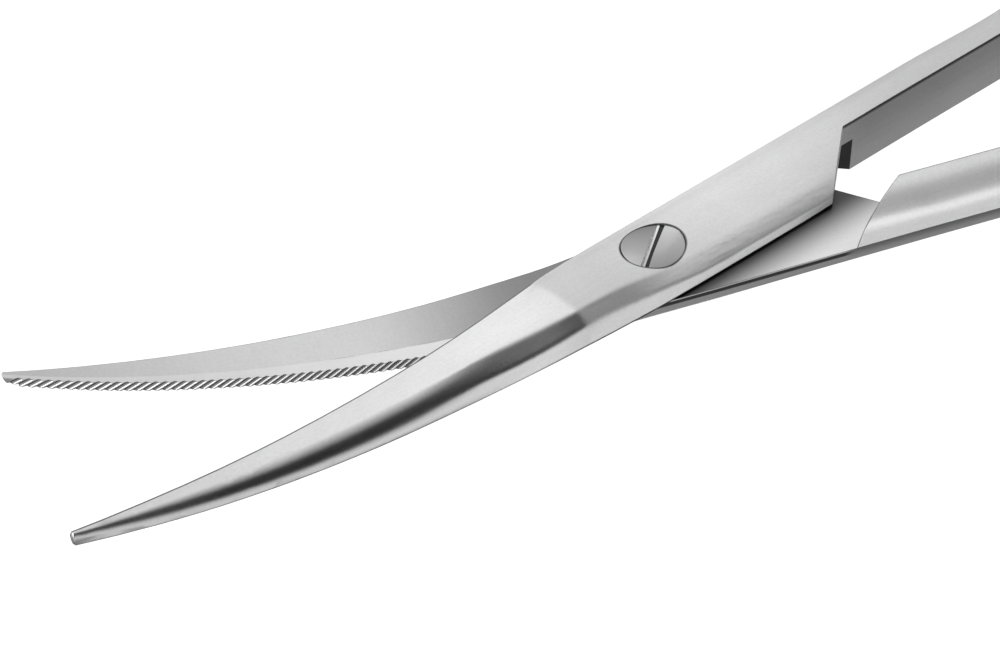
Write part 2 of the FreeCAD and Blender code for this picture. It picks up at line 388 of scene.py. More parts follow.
@dataclass(frozen=True)
class GroundSteel(Steel):
    """Satin steel that turns to bare metal where the blade's grind starts, with painted shade and a
    painted dark reflection on it.

    Spans are places in millimetres, from where a change starts to where it is complete: along the half,
    across it, out from the pivot, or behind the cutting edge.
    """

    blade_tone: float = 0.76
    blade_roughness: float = 0.30
    grind_start: float = -8.8
    grind_soft: float = 0.35
    grind_lean: float = 0.07
    dull_along: Span = (-4.0, 14.0)
    far_roughness: float = 0.06
    edge_depth: Span = (0.16, 0.08)
    cutting_edge_shade: float = 0.75
    near_across: Span = (-3.4, -2.7)
    near_along: Span = (8.0, -6.0)
    near_fall: float = 0.20
    far_along: Span = (8.0, 30.0)
    far_fall: float = 0.20
    seat_ring: Span = (2.70, 2.61)
    seat_shadow: float = 0.75
    band_low: float = math.radians(22.0)
    band_high: float = math.radians(41.0)
    band_soft: float = math.radians(5.0)
    band_root: Span = (-8.8, -25.0)
    band_tip: Span = (-50.0, -35.0)
    reflection_band_dark: float = 0.0

    def levels(self, graph: Graph, own: bpy.types.NodeSocket) -> Levels:
        """Tone, roughness and metal share over the surface.

        Args:
            graph: the graph to add to.
            own: coordinates along the half, in millimetres.

        Returns:
            Tone, roughness and metal share, with the blade's grind apart from the rest.
        """
        along, across, _ = graph.axes(own)
        low = self.grind_start - self.grind_soft
        high = self.grind_start + self.grind_soft
        blade = 1.0 - (along + across * (self.grind_lean * self.side.value)).ramp(low, high)
        # Painted shade: the lap darkens towards the grind's start, except near the spine's edge, and
        # towards the shank.
        above = (across * self.side.value).ramp(*self.near_across)
        fall = along.ramp(*self.near_along) * above * self.near_fall
        fall = fall + along.ramp(*self.far_along) * self.far_fall
        tone = blade * (self.blade_tone - self.tone) + self.tone
        tone = tone * (1.0 - fall * (1.0 - blade))
        rough = blade * (self.blade_roughness - self.roughness) + self.roughness
        rough = rough + along.ramp(*self.dull_along) * self.far_roughness
        # Painted shadow: a dark ring on the lap round the screw head's seat, for the shadow gap there.
        seat_shadow_ring = (along * along + across * across).root().ramp(*self.seat_ring)
        metal = blade * (1.0 - self.metal) + self.metal
        # Painted shade: a dark line along the front blade's cutting edge.
        tone = tone * (1.0 - graph.noted(EDGE_DEPTH).ramp(*self.edge_depth) * blade * self.cutting_edge_shade)
        # Painted reflection: the tone darkens where the blade's form tilts between band_low and
        # band_high, the tilts at which it mirrors the dark gap in the light.
        tilt = graph.noted(TILT)
        above_low = tilt.ramp(self.band_low - self.band_soft, self.band_low + self.band_soft)
        band = above_low * tilt.ramp(self.band_high + self.band_soft, self.band_high - self.band_soft)
        band = band * along.ramp(*self.band_root) * along.ramp(*self.band_tip)
        tone = tone * (1.0 - band * blade * self.reflection_band_dark)
        return tone * (1.0 - seat_shadow_ring * self.seat_shadow), rough, metal


@dataclass(frozen=True)
class HollowSteel(Steel):
    """The hollow grind of the inner blade face, darker towards the pivot and towards the tip."""

    root_along: Span = (-26.0, -9.0)
    root_share: float = 0.37
    tip_along: Span = (-34.0, -48.0)
    tip_share: float = 0.90

    def levels(self, graph: Graph, own: bpy.types.NodeSocket) -> Levels:
        """Tone, roughness and metal share over the surface.

        Args:
            graph: the graph to add to.
            own: coordinates along the half, in millimetres.

        Returns:
            Tone, roughness and metal share, with the tone changing along the blade.
        """
        along = graph.axes(own)[0]
        root = along.ramp(*self.root_along) * (1.0 - self.root_share)
        tip = along.ramp(*self.tip_along) * (1.0 - self.tip_share)
        return (1.0 - root - tip) * self.tone, self.roughness, self.metal


@dataclass(frozen=True)
class WallSteel(Steel):
    """Upright side faces, with painted shade lines where they meet the lap face and the top of the
    shank, and a painted highlight line on the rear lap's side.

    Spans are heights above the resting face or places along the half, in millimetres.
    """

    lap_along: Span = (15.5, 14.5)
    lap_rise: Span = (3.30, 3.40)
    line_dark: float = 0.85
    top_rise: Span = (5.40, 5.75)
    fall_rise: Span = (0.5, 5.5)
    fall_along: Span = (17.0, 24.0)
    top_fall: float = 0.30
    rim_rise: Span = (3.40, 3.46)
    rim_below: Span = (2.95, 3.10)
    rim_light: float = 0.55
    shank_rise: Span = (2.5, 3.6)
    shank_dark: float = 0.55
    shank_on: float = 0.0

    def levels(self, graph: Graph, own: bpy.types.NodeSocket) -> Levels:
        """Tone, roughness and metal share over the surface.

        Args:
            graph: the graph to add to.
            own: coordinates along the half, in millimetres.

        Returns:
            Tone, roughness and metal share, with painted shade lines under the faces above, painted
            shade along the shank and a painted highlight line.
        """
        along, _, height = graph.axes(own)
        lap = along.ramp(*self.lap_along)
        # Painted shade: dark lines under the lap face and along the top of the front shank's inner wall,
        # and shade growing up that wall along the shank.
        lap_line = height.ramp(*self.lap_rise) * lap * self.line_dark
        shank_shade = height.ramp(*self.shank_rise) * (1.0 - lap) * self.shank_dark
        top_line = height.ramp(*self.top_rise) * self.line_dark
        top_fall = height.ramp(*self.fall_rise) * along.ramp(*self.fall_along) * self.top_fall
        # Painted highlight: a bright, non-metal line along the top of the rear lap's side, with a
        # painted dark line below it and painted shade along the top of the rear shank's side.
        rim = height.ramp(*self.rim_rise) * lap * (self.rim_light * self.shank_on)
        rim_line = height.ramp(*self.rim_below) * lap * self.line_dark
        front = 1.0 - self.shank_on
        dark = (lap_line + top_line) * front + (shank_shade + rim_line) * self.shank_on
        tone = (1.0 - dark) * (1.0 - top_fall * front) * self.tone * (1.0 - rim) + rim
        return tone, self.roughness, (1.0 - rim) * self.metal


@dataclass(frozen=True)
class ToothSteel(Steel):
    """The serrated edge: bright ridges with painted shade in the grooves between them."""

    groove_depth: Span = (0.045, 0.065)
    groove_dark: float = 0.82

    def levels(self, graph: Graph, own: bpy.types.NodeSocket) -> Levels:
        """Tone, roughness and metal share over the surface, with painted shade from a set depth below
        the ridges.
        """
        dark = graph.noted(EDGE_DEPTH).ramp(*self.groove_depth) * self.groove_dark
        return (1.0 - dark) * self.tone, self.roughness, self.metal


@dataclass(frozen=True)
class LapSteel(Steel):
    """The lap face, with painted shade along the line where the other lap's edge lies over it."""

    overlap_shade_angle: float = math.radians(18.2)
    overlap_shade_offset: float = -3.9
    overlap_shade_width: Span = (3.8, -0.3)
    overlap_shade_dark: float = 0.89

    def levels(self, graph: Graph, own: bpy.types.NodeSocket) -> Levels:
        """Tone, roughness and metal share over the surface.

        Args:
            graph: the graph to add to.
            own: coordinates along the half, in millimetres.

        Returns:
            Tone, roughness and metal share, with the painted shade lifting away from that line.
        """
        along, across, _ = graph.axes(own)
        # Painted shade: darkest along the other lap's edge, fading away from it.
        beyond = along * math.sin(self.overlap_shade_angle) - across * math.cos(self.overlap_shade_angle) + self.overlap_shade_offset
        overlap_shade = beyond.ramp(*self.overlap_shade_width) * self.overlap_shade_dark
        return (1.0 - overlap_shade) * self.tone, self.roughness, self.metal


@dataclass(frozen=True)
class TurnedSteel:
    """The screw's steel: faint turning rings about the pivot and fine grain, with painted light and
    shade: a tone on each side of the slot.
    """

    name: str
    tone: float = 0.62
    roughness: float = 0.34
    edge_round: float = 0.05
    edge_samples: int = 4
    metal: float = 1.0
    lit_from: float = 0.0
    lit_soft: float = 0.06
    lit_tone: float = 0.62
    turned: float = 0.0
    bump: float = 0.3
    ring_relief: float = 0.04
    grain_relief: float = 0.08
    grain_noise: Noise = Noise(6.0, 2.0, 0.6)
    cloud_noise: Noise = Noise(0.8, 2.0, 0.5)
    ring_scale: float = 1.6
    ring_wander: float = 1.2
    wander_detail: float = 2.0
    wander_scale: float = 1.5
    grain_share: float = 0.06
    cloud_share: float = 0.05
    ring_share: float = 0.02
    grain_rough: float = 0.10
    relief_depth: float = 0.02 * MM

    def material(self) -> bpy.types.Material:
        """Builds the finish.

        Returns:
            The material.
        """
        made, graph = new_material(self.name)
        own = graph.own_place()
        rings = Value(
            graph,
            graph.node(
                "ShaderNodeTexWave",
                {"wave_type": "RINGS", "rings_direction": "Z"},
                {
                    "Vector": own,
                    "Scale": self.ring_scale,
                    "Distortion": self.ring_wander,
                    "Detail": self.wander_detail,
                    "Detail Scale": self.wander_scale,
                },
            ).outputs[1],
        )
        grain = graph.noise(own, self.grain_noise)
        cloud = graph.noise(own, self.cloud_noise)
        texture = (
            (grain - 0.5) * self.grain_share
            + (cloud - 0.5) * self.cloud_share
            + (rings - 0.5) * self.ring_share
            + 1.0
        )
        along, across, _ = graph.axes(own)
        beside = across * math.cos(SLOT_ANGLE) - along * math.sin(SLOT_ANGLE)
        length = along * math.cos(SLOT_ANGLE) + across * math.sin(SLOT_ANGLE)
        # Painted light and shade: one side of the slot lit, the other shaded, each shading the opposite
        # way along the slot.
        lit = beside.ramp(self.lit_from, self.lit_from + self.lit_soft)
        tone = lit * (self.lit_tone - self.tone) + self.tone
        tone = tone * (1.0 - (lit * 2.0 - 1.0) * length * self.turned)
        rough = self.roughness + (grain - 0.5) * self.grain_rough
        rounded = graph.rounded(self.edge_round, self.edge_samples)
        height = rings * self.ring_relief + grain * self.grain_relief
        facing = graph.relief(self.bump, self.relief_depth, height, rounded)
        graph.steel(tone * texture, self.metal, rough, facing)
        return made


def eased(share: float) -> float:
    """Soft step from 0 to 1 for a share between 0 and 1."""
    return share * share * (3 - 2 * share)


def smooth(value: float, start: float, end: float) -> float:
    """Soft step of a value, from 0 at start to 1 at end."""
    return eased(min(max((value - start) / (end - start), 0.0), 1.0))


def swelling(share: float, root: float, tip: float, belly: float) -> float:
    """Half width at a share of the blade's length, from root to tip, with a swelling between them."""
    return root * (1 - share) + tip * share + belly * share * share * (1 - share)


def between(first: float, last: float, share: float) -> float:
    """Level at a share of the way from the first to the last."""
    return first + (last - first) * share


def along_points(points: Sequence[tuple[float, float]], place: float) -> float:
    """Reads a row of points, straight between them and level beyond its ends.

    Args:
        points: places with their levels, in rising order.
        place: where to read.

    Returns:
        The level there.
    """
    for (first, low), (last, high) in zip(points, points[1:]):
        if place <= last:
            return low + (high - low) * (max(place - first, 0.0) / (last - first))
    return points[-1][1]


def clear_selection() -> None:
    """Deselects every object, since the loaded nodes arrive selected."""
    bpy.ops.object.select_all(action="DESELECT")


def only(piece: bpy.types.Object) -> None:
    """Makes one object the only selected and active one.

    Args:
        piece: the object.
    """
    clear_selection()
    piece.select_set(True)
    bpy.context.view_layer.objects.active = piece


@dataclass
class SmoothPiece:
    """A forged or turned piece: the solid's surface joined up, smoothed and given its finish."""

    node: str
    body: str
    slot: str
    finishes: tuple[Union[Steel, TurnedSteel], ...]
    weld: float = 0.001 * MM
    sliver: float = 0.004 * MM
    crease: float = math.radians(24.0)
    piece: Optional[bpy.types.Object] = field(default=None, init=False)

    def build(self) -> bpy.types.Object:
        """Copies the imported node, joins its triangles and smooths all but its real edges.

        Returns:
            The new piece.
        """
        source = frame["nodes"][self.node]
        copy = source.copy()
        copy.data = source.data.copy()
        copy.name = self.node + "_dressed"
        copy.parent = None
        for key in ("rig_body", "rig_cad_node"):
            if key in copy:
                del copy[key]
        bpy.context.scene.collection.objects.link(copy)
        only(copy)
        bpy.ops.object.mode_set(mode="EDIT")
        bpy.ops.mesh.select_all(action="SELECT")
        bpy.ops.mesh.remove_doubles(threshold=self.weld)
        bpy.ops.mesh.dissolve_degenerate(threshold=self.sliver)
        bpy.ops.object.mode_set(mode="OBJECT")
        if copy.data.has_custom_normals:
            bpy.ops.mesh.customdata_custom_splitnormals_clear()
        bpy.ops.object.shade_smooth_by_angle(angle=self.crease)
        weighted = copy.modifiers.new("weighted", "WEIGHTED_NORMAL")
        weighted.mode = "FACE_AREA_WITH_ANGLE"
        weighted.keep_sharp = True
        only(copy)
        bpy.ops.object.modifier_apply(modifier=weighted.name)
        clear_selection()
        self.piece = copy
        return copy

    def paint(self) -> None:
        """Gives the piece its finishes, one to each material slot."""
        self.piece.data.materials.clear()
        for finish in self.finishes:
            self.piece.data.materials.append(finish.material())

    def dress(self) -> None:
        """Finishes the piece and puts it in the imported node's place."""
        self.paint()
        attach(self.piece, self.body)
        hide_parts(self.node)
        log.info("%s: %d faces", self.piece.name, len(self.piece.data.polygons))


@dataclass(frozen=True)
class BladeOutline:
    """The cutting side's outline and the land behind it, in millimetres along the half."""

    edge_root: float
    edge_tip: float
    edge_belly: float
    start: float = 8.0
    length: float = 49.6
    land_root: float = 1.70
    land_tip: float = 0.35
    hollow_start: float = 9.0

    def share(self, along: float) -> float:
        """Share of the blade's length at a distance from the pivot, 0 at the blade's root."""
        return (along - self.start) / (self.length - self.start)

    def edge(self, along: float) -> float:
        """Offset of the cutting edge from the half's middle line, at a distance from the pivot."""
        return swelling(self.share(along), self.edge_root, self.edge_tip, self.edge_belly)

    def land(self, along: float) -> float:
        """Width of the flat land at a distance from the pivot."""
        share = min((along - self.hollow_start) / (self.length - self.hollow_start), 1.0)
        return between(self.land_root, self.land_tip, share)


@dataclass(frozen=True)
class OuterForm:
    """The rolled outer surface of a blade and its lap plate, as heights above the meeting face.

    Lengths are in millimetres, x along the half with the blade on the negative side, y across it. A
    share of the way is 0 at the ridge or crease and 1 at the outline.
    """

    # outline of the blade and the lap
    outline: BladeOutline
    back_root: float
    back_tip: float
    back_belly: float
    ridge_lap: float
    lap_edge: float = 3.82
    lap_edge_run: float = 1.5
    lap_back: float = 3.90
    lap_back_run: float = 6.0
    # ridge, crest and edge heights
    ridge_blade: float = -0.3
    ridge_run_out: float = 6.0
    nose: float = 7.0
    edge_lap: float = 1.235
    edge_blade: float = 0.98
    edge_run_in: float = 4.0
    edge_under_crest: float = 0.06
    back_height: float = 0.20
    crest_lap: float = 2.70
    crest_root: float = 2.55
    crest_tip: float = 0.68
    crest_run_out: float = 22.0
    crest_rise: float = 6.0
    # roundness of the two sides, at the lap and on the blade
    narrowest: float = 0.05
    side_power: Span = (2.4, 1.1)
    roll: float = 0.95
    roll_power: Span = (2.0, 1.6)
    # rise towards the tip
    bend_start: float = 7.6
    tip_rise: float = 7.53
    bend_power: float = 2.4
    # tilts of the flats between blade and lap, as the light shows them
    blade_tilt: float = math.radians(22.5)
    shelf_tilt: float = math.radians(31.0)
    far_tilt: float = math.radians(8.0)
    steep_tilt: float = math.radians(57.0)
    flattened: Span = (-24.0, -14.0)
    level_along: Span = (-14.0, -8.0)
    shelf_along: Span = (-12.0, -6.0)
    far_along: Span = (-7.0, 1.5)
    shelf_least: float = 0.3
    shelf_across: Span = (-0.12, 0.24)
    steep_across: Span = (0.60, 0.86)
    creases: tuple[Span, ...] = (
        (-18.0, -0.25),
        (-12.0, -1.15),
        (-9.0, -1.60),
        (-4.6, -1.95),
        (-0.8, -2.50),
        (2.0, -3.00),
        (14.0, -3.20),
    )
    # tilt of the shank in degrees, at distances from its middle line
    tilts: tuple[Span, ...] = (
        (0.7, -8.0),
        (1.1, 0.0),
        (1.5, 10.0),
        (2.0, 22.0),
        (2.5, 31.0),
        (2.9, 40.0),
        (3.15, 54.0),
        (3.4, 66.0),
        (3.6, 78.0),
        (3.9, 86.0),
    )

    def height(self, x: float, y: float) -> tuple[float, float]:
        """Height of the outer surface.

        Args:
            x: place along the half, the blade on the negative side.
            y: place towards the cutting side.

        Returns:
            The surface's height above the meeting face, and the meeting face's own rise.
        """
        start, length = self.outline.start, self.outline.length
        reach = max(start, -x)
        past = reach - start
        high = self.outline.edge(reach)
        low = -self.spine(x)
        if x > -start:
            high = between(self.lap_edge, high, math.exp(-(x + start) / self.lap_edge_run))
        crest = between(self.crest_tip, self.crest_root, math.exp(-past / self.crest_run_out))
        lift = min(max((x + start) / self.crest_rise, 0.0), 1.0)
        crest += (self.crest_lap - self.crest_root) * eased(lift)
        near = min(self.outline.share(reach) * self.edge_run_in, 1.0)
        edge = between(self.edge_lap, self.edge_blade, eased(near))
        edge = min(edge, crest - self.edge_under_crest)
        ridge = between(self.ridge_blade, self.ridge_lap, math.exp(-past / self.ridge_run_out))
        near_tip = -length + self.nose
        if x < near_tip:
            ridge += ((high + low) / 2 - ridge) * (near_tip - x) / (2 * self.nose)
        if y >= ridge:
            way = min((y - ridge) / max(high - ridge, self.narrowest), 1.0)
            rise = between(edge, crest, 1 - way ** between(*self.side_power, near))
        else:
            way = min((ridge - y) / max(ridge - low, self.narrowest), 1.0)
            power = between(*self.roll_power, near)
            rest = math.sqrt(1 - self.roll**power)
            full = math.sqrt(1 - (self.roll * way) ** power)
            rise = between(self.back_height, crest, (full - rest) / (1 - rest))
        bend = max(0.0, (-x - self.bend_start) / (length - self.bend_start))
        return rise, self.tip_rise * bend**self.bend_power

    def spine(self, x: float) -> float:
        """Half width on the spine's side.

        Args:
            x: place along the half.

        Returns:
            The distance from the middle line to the spine.
        """
        start = self.outline.start
        if x > -start:
            return between(self.lap_back, self.back_root, math.exp(-(x + start) / self.lap_back_run))
        return swelling(self.outline.share(-x), self.back_root, self.back_tip, self.back_belly)

    def crease(self, x: float) -> float:
        """Place across, towards the cutting side, where the flat top ends and falls to the spine."""
        return along_points(self.creases, x)

    def shank(self, y: float) -> Vector:
        """Direction of the shank's upper surface, level for longer than a plain round.

        Args:
            y: place across, in the half's own frame.

        Returns:
            The direction.
        """
        if -y > self.tilts[-1][0]:
            return Vector((0.0, -1.0, 0.0))
        tilt = math.radians(along_points(self.tilts, -y))
        return Vector((0.0, -math.sin(tilt), math.cos(tilt)))

    def normal(self, x: float, y: float, sign: int) -> Vector:
        """Direction of the outer surface, from small steps along and across.

        Args:
            x: place along the half.
            y: place towards the cutting side.
            sign: 1 for the front half, -1 for the rear half, whose outer side faces down.

        Returns:
            The direction, with y counted towards the cutting side.
        """

        def level(along: float, across: float) -> float:
            """Height of the surface at a place, in the part's own direction."""
            rise, base = self.height(along, across)
            return base + sign * rise

        long_step = 0.5
        short_step = 0.04
        along = (level(x + long_step, y) - level(x - long_step, y)) / (2 * long_step)
        across = (level(x, y + short_step) - level(x, y - short_step)) / (2 * short_step)
        if sign > 0:
            share = smooth(x, *self.flattened)
            crease = self.crease(x)
            way = (crease - y) / max(crease + self.spine(x), self.shelf_least)
            shelf = between(self.blade_tilt, self.shelf_tilt, smooth(x, *self.shelf_along))
            shelf += (self.far_tilt - self.shelf_tilt) * smooth(x, *self.far_along)
            tilt = shelf * smooth(way, *self.shelf_across)
            tilt += (self.steep_tilt - shelf) * smooth(way, *self.steep_across)
            across = between(across, math.tan(tilt) + min(across, 0.0), share)
            along *= 1 - share * smooth(x, *self.level_along)
        return Vector((-along, -across, 1.0)).normalized() * sign


@dataclass
class HalfPiece(SmoothPiece):
    """One forged half, with its ground faces told apart by where they are and how they face.

    Places are in millimetres in the half's own frame. How a face looks one way is a share of 1.
    """

    side: Side = Side.FRONT
    form: OuterForm = OuterForm(
        outline=BladeOutline(edge_root=3.70, edge_tip=-0.20, edge_belly=0.9),
        back_root=3.38,
        back_tip=0.84,
        back_belly=1.1,
        ridge_lap=-2.1,
    )
    # where the ground faces lie
    meeting_height: float = 3.6
    rim_height: float = 0.3
    recess_depth: float = 1.4
    recess_end: float = 30.0
    recess_side: float = 14.0
    pivot_face: float = 1.0
    inner_wall: float = 0.68
    wall_flat: float = 0.02
    outer_wall: float = 3.0
    lap_end: float = 13.0
    rim_end: float = 17.0
    bow_start: float = 44.0
    teeth_start: float = 11.0
    teeth_depth: float = 0.25
    land_margin: float = 0.01
    # how they face
    upright: float = 0.3
    squarely: float = 0.8
    step_out: Span = (-0.9, -0.5)
    step_back: float = -0.4
    wall_facing: float = 0.95
    side_facing: float = 0.985
    tooth_out: float = 0.15
    tooth_inward: float = 0.92
    inner_face: float = 0.5
    facing_out: float = 0.12
    # what is cut finer and shaded by its form
    tiny: float = 0.00002 * MM * MM
    refined: Span = (-30.0, 20.0)
    refined_across: float = 0.4
    cuts: int = 2
    blade_end: float = 23.0
    blade_fade: Span = (15.0, 23.0)
    shank_fade: Span = (34.0, 42.0)
    tip_left: float = 1.2

    def paint(self) -> None:
        """Gives each kind of face its finish."""
        super().paint()
        turn = Matrix.Rotation(-self.side.value * HALF_OPENING, 3, "Z")
        count = dict.fromkeys(Face, 0)
        for face in self.piece.data.polygons:
            kind = self.kind(turn @ face.center / MM, turn @ face.normal)
            face.material_index = kind.value
            count[kind] += 1
        log.info("%s faces: %s", self.node, {kind.name: number for kind, number in count.items()})
        self.refine(turn)
        self.mark_form(turn)
        self.smooth_outer(turn)

    def mark_form(self, turn: Matrix) -> None:
        """Notes at each corner its depth behind the blade's edge, in millimetres, and its form's tilt.

        Args:
            turn: turn from the part's frame into the half's own frame.
        """
        mesh = self.piece.data
        for name in (EDGE_DEPTH, TILT):
            mesh.attributes.new(name, "FLOAT", "POINT")
        depths = mesh.attributes[EDGE_DEPTH].data
        tilts = mesh.attributes[TILT].data
        for corner in mesh.vertices:
            place = turn @ corner.co / MM
            facing = self.outer_direction(place, turn.transposed())
            depths[corner.index].value = self.form.outline.edge(-place.x) - place.y * self.side.value
            tilts[corner.index].value = math.atan2(-facing.y, facing.z)

    def outer_direction(self, place: Vector, back: Matrix) -> Vector:
        """Direction of the rolled outer surface at a place.

        Args:
            place: the place in the half's own frame, in millimetres.
            back: turn from the half's own frame into the part's frame.

        Returns:
            The direction in the part's frame.
        """
        sign = self.side.value
        made = self.form.normal(place.x, place.y * sign, sign)
        return back @ Vector((made.x, made.y * sign, made.z))

    def refine(self, turn: Matrix) -> None:
        """Cuts the faces of the rolled surface finer, so that its shading can follow the form.

        Args:
            turn: turn from the part's frame into the half's own frame.
        """
        mesh = self.piece.data
        only(self.piece)
        bpy.ops.object.mode_set(mode="EDIT")
        bpy.ops.mesh.select_mode(type="FACE")
        bpy.ops.mesh.select_all(action="DESELECT")
        bpy.ops.object.mode_set(mode="OBJECT")
        for face in mesh.polygons:
            middle = turn @ face.center / MM
            outer = face.material_index == Face.OUTER.value and (turn @ face.normal).z > self.facing_out
            near = middle.y * self.side.value < self.refined_across
            face.select = outer and near and self.refined[0] < middle.x < self.refined[1]
        bpy.ops.object.mode_set(mode="EDIT")
        bpy.ops.mesh.subdivide(number_cuts=self.cuts)
        bpy.ops.mesh.select_all(action="DESELECT")
        bpy.ops.object.mode_set(mode="OBJECT")

    def smooth_outer(self, turn: Matrix) -> None:
        """Shades the blade's, lap's and shank's outer surface by its form instead of by its triangles.

        Args:
            turn: turn from the part's frame into the half's own frame.
        """
        mesh = self.piece.data
        sign = self.side.value
        back = turn.transposed()
        normals = [Vector(corner.vector) for corner in mesh.corner_normals]
        for face in mesh.polygons:
            if face.material_index != Face.OUTER.value:
                continue
            facing = (turn @ face.normal).z * sign
            facing = 1.0 if face.area < self.tiny and self.side is Side.FRONT else facing
            middle = turn @ face.center / MM
            shank = self.side is Side.REAR and middle.x > self.lap_end
            along_blade = self.tip_left - self.form.outline.length < middle.x < self.blade_end
            blade = facing > self.facing_out and along_blade
            for loop in face.loop_indices:
                place = turn @ mesh.vertices[mesh.loops[loop].vertex_index].co / MM
                if shank and facing < -self.facing_out:
                    kept = smooth(place.x, *self.shank_fade)
                    made = back @ self.form.shank(place.y)
                elif blade:
                    kept = smooth(place.x, *self.blade_fade)
                    made = self.outer_direction(place, back)
                else:
                    continue
                normals[loop] = (made * (1 - kept) + normals[loop] * kept).normalized()
        mesh.normals_split_custom_set(normals)

    def kind(self, place: Vector, normal: Vector) -> Face:
        """Tells what kind of surface a face is.

        Args:
            place: its middle, in millimetres along the half.
            normal: its direction in the same frame.

        Returns:
            The kind.
        """
        sign = self.side.value
        across = place.y * sign
        out = normal.y * sign
        inward = -normal.z * sign
        along = -place.x
        upright = abs(normal.z) < self.upright
        if along > self.form.outline.hollow_start:
            return self.blade_kind(along, across, out, inward, normal)
        level = abs(place.z - self.meeting_height)
        if upright and out < -self.squarely and level < self.rim_height and place.x < self.rim_end:
            return Face.RIM
        recess = place.x < self.recess_end and across < self.recess_side and level < self.recess_depth
        if inward > self.squarely and recess:
            return Face.LAP if place.x > self.pivot_face else Face.HOLLOW
        if upright and self.lap_end < place.x < self.bow_start:
            if self.step_out[0] < out < self.step_out[1] and normal.x < self.step_back:
                return Face.STEP
            if out < -self.wall_facing and abs(across - self.inner_wall) < self.wall_flat:
                return Face.WALL
        if upright and out > self.side_facing and across > self.outer_wall and place.x < self.bow_start:
            return Face.WALL
        return Face.OUTER

    def blade_kind(self, along: float, across: float, out: float, inward: float, normal: Vector) -> Face:
        """Tells what kind of surface a face of the blade is.

        Args:
            along: its distance from the pivot.
            across: its offset towards the cutting side.
            out: how much it faces the cutting side.
            inward: how much it faces the other half.
            normal: its direction along the half.

        Returns:
            The kind.
        """
        edge = self.form.outline.edge(along)
        toothed = self.side is Side.REAR and along > self.teeth_start
        cut = out > self.tooth_out and inward < self.tooth_inward
        if toothed and cut and across > edge - self.teeth_depth:
            return Face.TOOTH if normal.z > normal.x else Face.GROOVE
        if inward > self.inner_face:
            land = self.form.outline.land(along) + self.land_margin
            return Face.LAND if edge - across < land else Face.HOLLOW
        return Face.OUTER


@dataclass
class ScrewPiece(SmoothPiece):
    """The pivot screw, with the slot's floor and walls told apart from its head."""

    slot_half: float = 0.31
    slot_margin: float = 0.03
    slot_top: float = 6.1
    head_base: float = 5.0
    wall_facing: float = 0.5

    def paint(self) -> None:
        """Gives the head and the slot their finishes."""
        super().paint()
        for face in self.piece.data.polygons:
            place = face.center / MM
            beside = abs(place.y * math.cos(SLOT_ANGLE) - place.x * math.sin(SLOT_ANGLE))
            kind = ScrewFace.HEAD
            if place.z > self.head_base and beside < self.slot_half + self.slot_margin:
                if face.normal.z < self.wall_facing:
                    kind = ScrewFace.SLOT_WALL
                elif beside < self.slot_half - self.slot_margin and place.z < self.slot_top:
                    kind = ScrewFace.SLOT
            face.material_index = kind.value


@dataclass
class Scissors:
    """The whole instrument: two halves and the pivot screw."""

    pieces: list[SmoothPiece] = field(default_factory=list)

    @staticmethod
    def finishes(side: Side) -> tuple[Steel, ...]:
        """The finishes of one half, in the order of Face.

        Args:
            side: which half.

        Returns:
            One finish for each kind of face.
        """
        tag = side.name.lower()
        across_lines = (5.0, 0.25, 0.25)
        front = float(side is Side.FRONT)
        satin = GroundSteel(
            "satin_" + tag,
            side,
            tone=0.93 - 0.09 * front,
            roughness=0.32,
            line_share=0.11,
            metal=0.5,
            bump=0.15,
            edge_round=0.14,
            edge_painted_shade=0.82,
            near_fall=0.20 * front,
            far_fall=0.20 * front,
            reflection_band_dark=0.55 * front,
        )
        return (
            satin,
            HollowSteel(
                "hollow_" + tag, side, tone=0.74, roughness=0.40, lines=across_lines, line_share=0.08
            ),
            Steel("land_" + tag, side, tone=0.80, roughness=0.30, line_share=0.06, grain_share=0.12),
            ToothSteel("tooth_" + tag, side, tone=0.92, roughness=0.30, edge_painted_shade=0.0, bump=0.0),
            # Painted shade: the tooth facets that face away from the light are a dark copy of the tooth
            # steel.
            Steel("groove_" + tag, side, tone=0.16, roughness=0.45, edge_painted_shade=0.0),
            # Painted light and shade: the front half's walls are a lighter copy of this steel, the rear
            # half's a darker one.
            WallSteel(
                "wall_" + tag, side, tone=0.80 + 0.15 * front, roughness=0.40, shank_on=1.0 - front
            ),
            # Painted shade: the step face at the shoulder is near black, as it lies in shade.
            Steel("step_" + tag, side, tone=0.10, roughness=0.50),
            # Painted shadow: the lap's low rim on its spine side is near black, for the shadow gap where
            # the laps meet.
            Steel("rim_" + tag, side, tone=0.10, roughness=0.40, edge_painted_shade=0.0),
            LapSteel("lap_" + tag, side, tone=0.88, roughness=0.30, line_share=0.08, grain_share=0.10),
        )

    def build(self) -> None:
        """Builds and dresses each piece."""
        front = HalfPiece("front_half", "front", "satin_steel", self.finishes(Side.FRONT))
        rear = HalfPiece(
            "rear_half",
            "rear",
            "satin_steel",
            self.finishes(Side.REAR),
            side=Side.REAR,
            refined=(13.0, 36.0),
            refined_across=4.2,
            cuts=1,
            blade_end=-17.0,
            form=OuterForm(
                outline=BladeOutline(edge_root=3.90, edge_tip=-0.05, edge_belly=1.4),
                back_root=2.92,
                back_tip=0.70,
                back_belly=1.5,
                ridge_lap=-0.9,
            ),
        )
        turned: tuple[TurnedSteel, ...] = (
            # Painted light and shade: the head's two sides in two tones, the slot's floor dark with a
            # painted lit strip, and its wall a white non-metal for a painted highlight.
            TurnedSteel("turned_head", tone=0.51, lit_tone=0.38, turned=0.14),
            TurnedSteel("turned_slot", tone=0.05, roughness=0.35, lit_from=0.08, lit_tone=0.95),
            TurnedSteel("slot_wall", tone=0.95, roughness=0.45, metal=0.0, lit_tone=0.95),
        )
        screw = ScrewPiece("pivot_screw", "rear", "screw_steel", turned)
        self.pieces = [front, rear, screw]
        for part in self.pieces:
            part.build()
            part.dress()


@dataclass(frozen=True)
class Glow:
    """How bright the light is at one angle round the instrument's long axis."""

    angle: float
    level: float


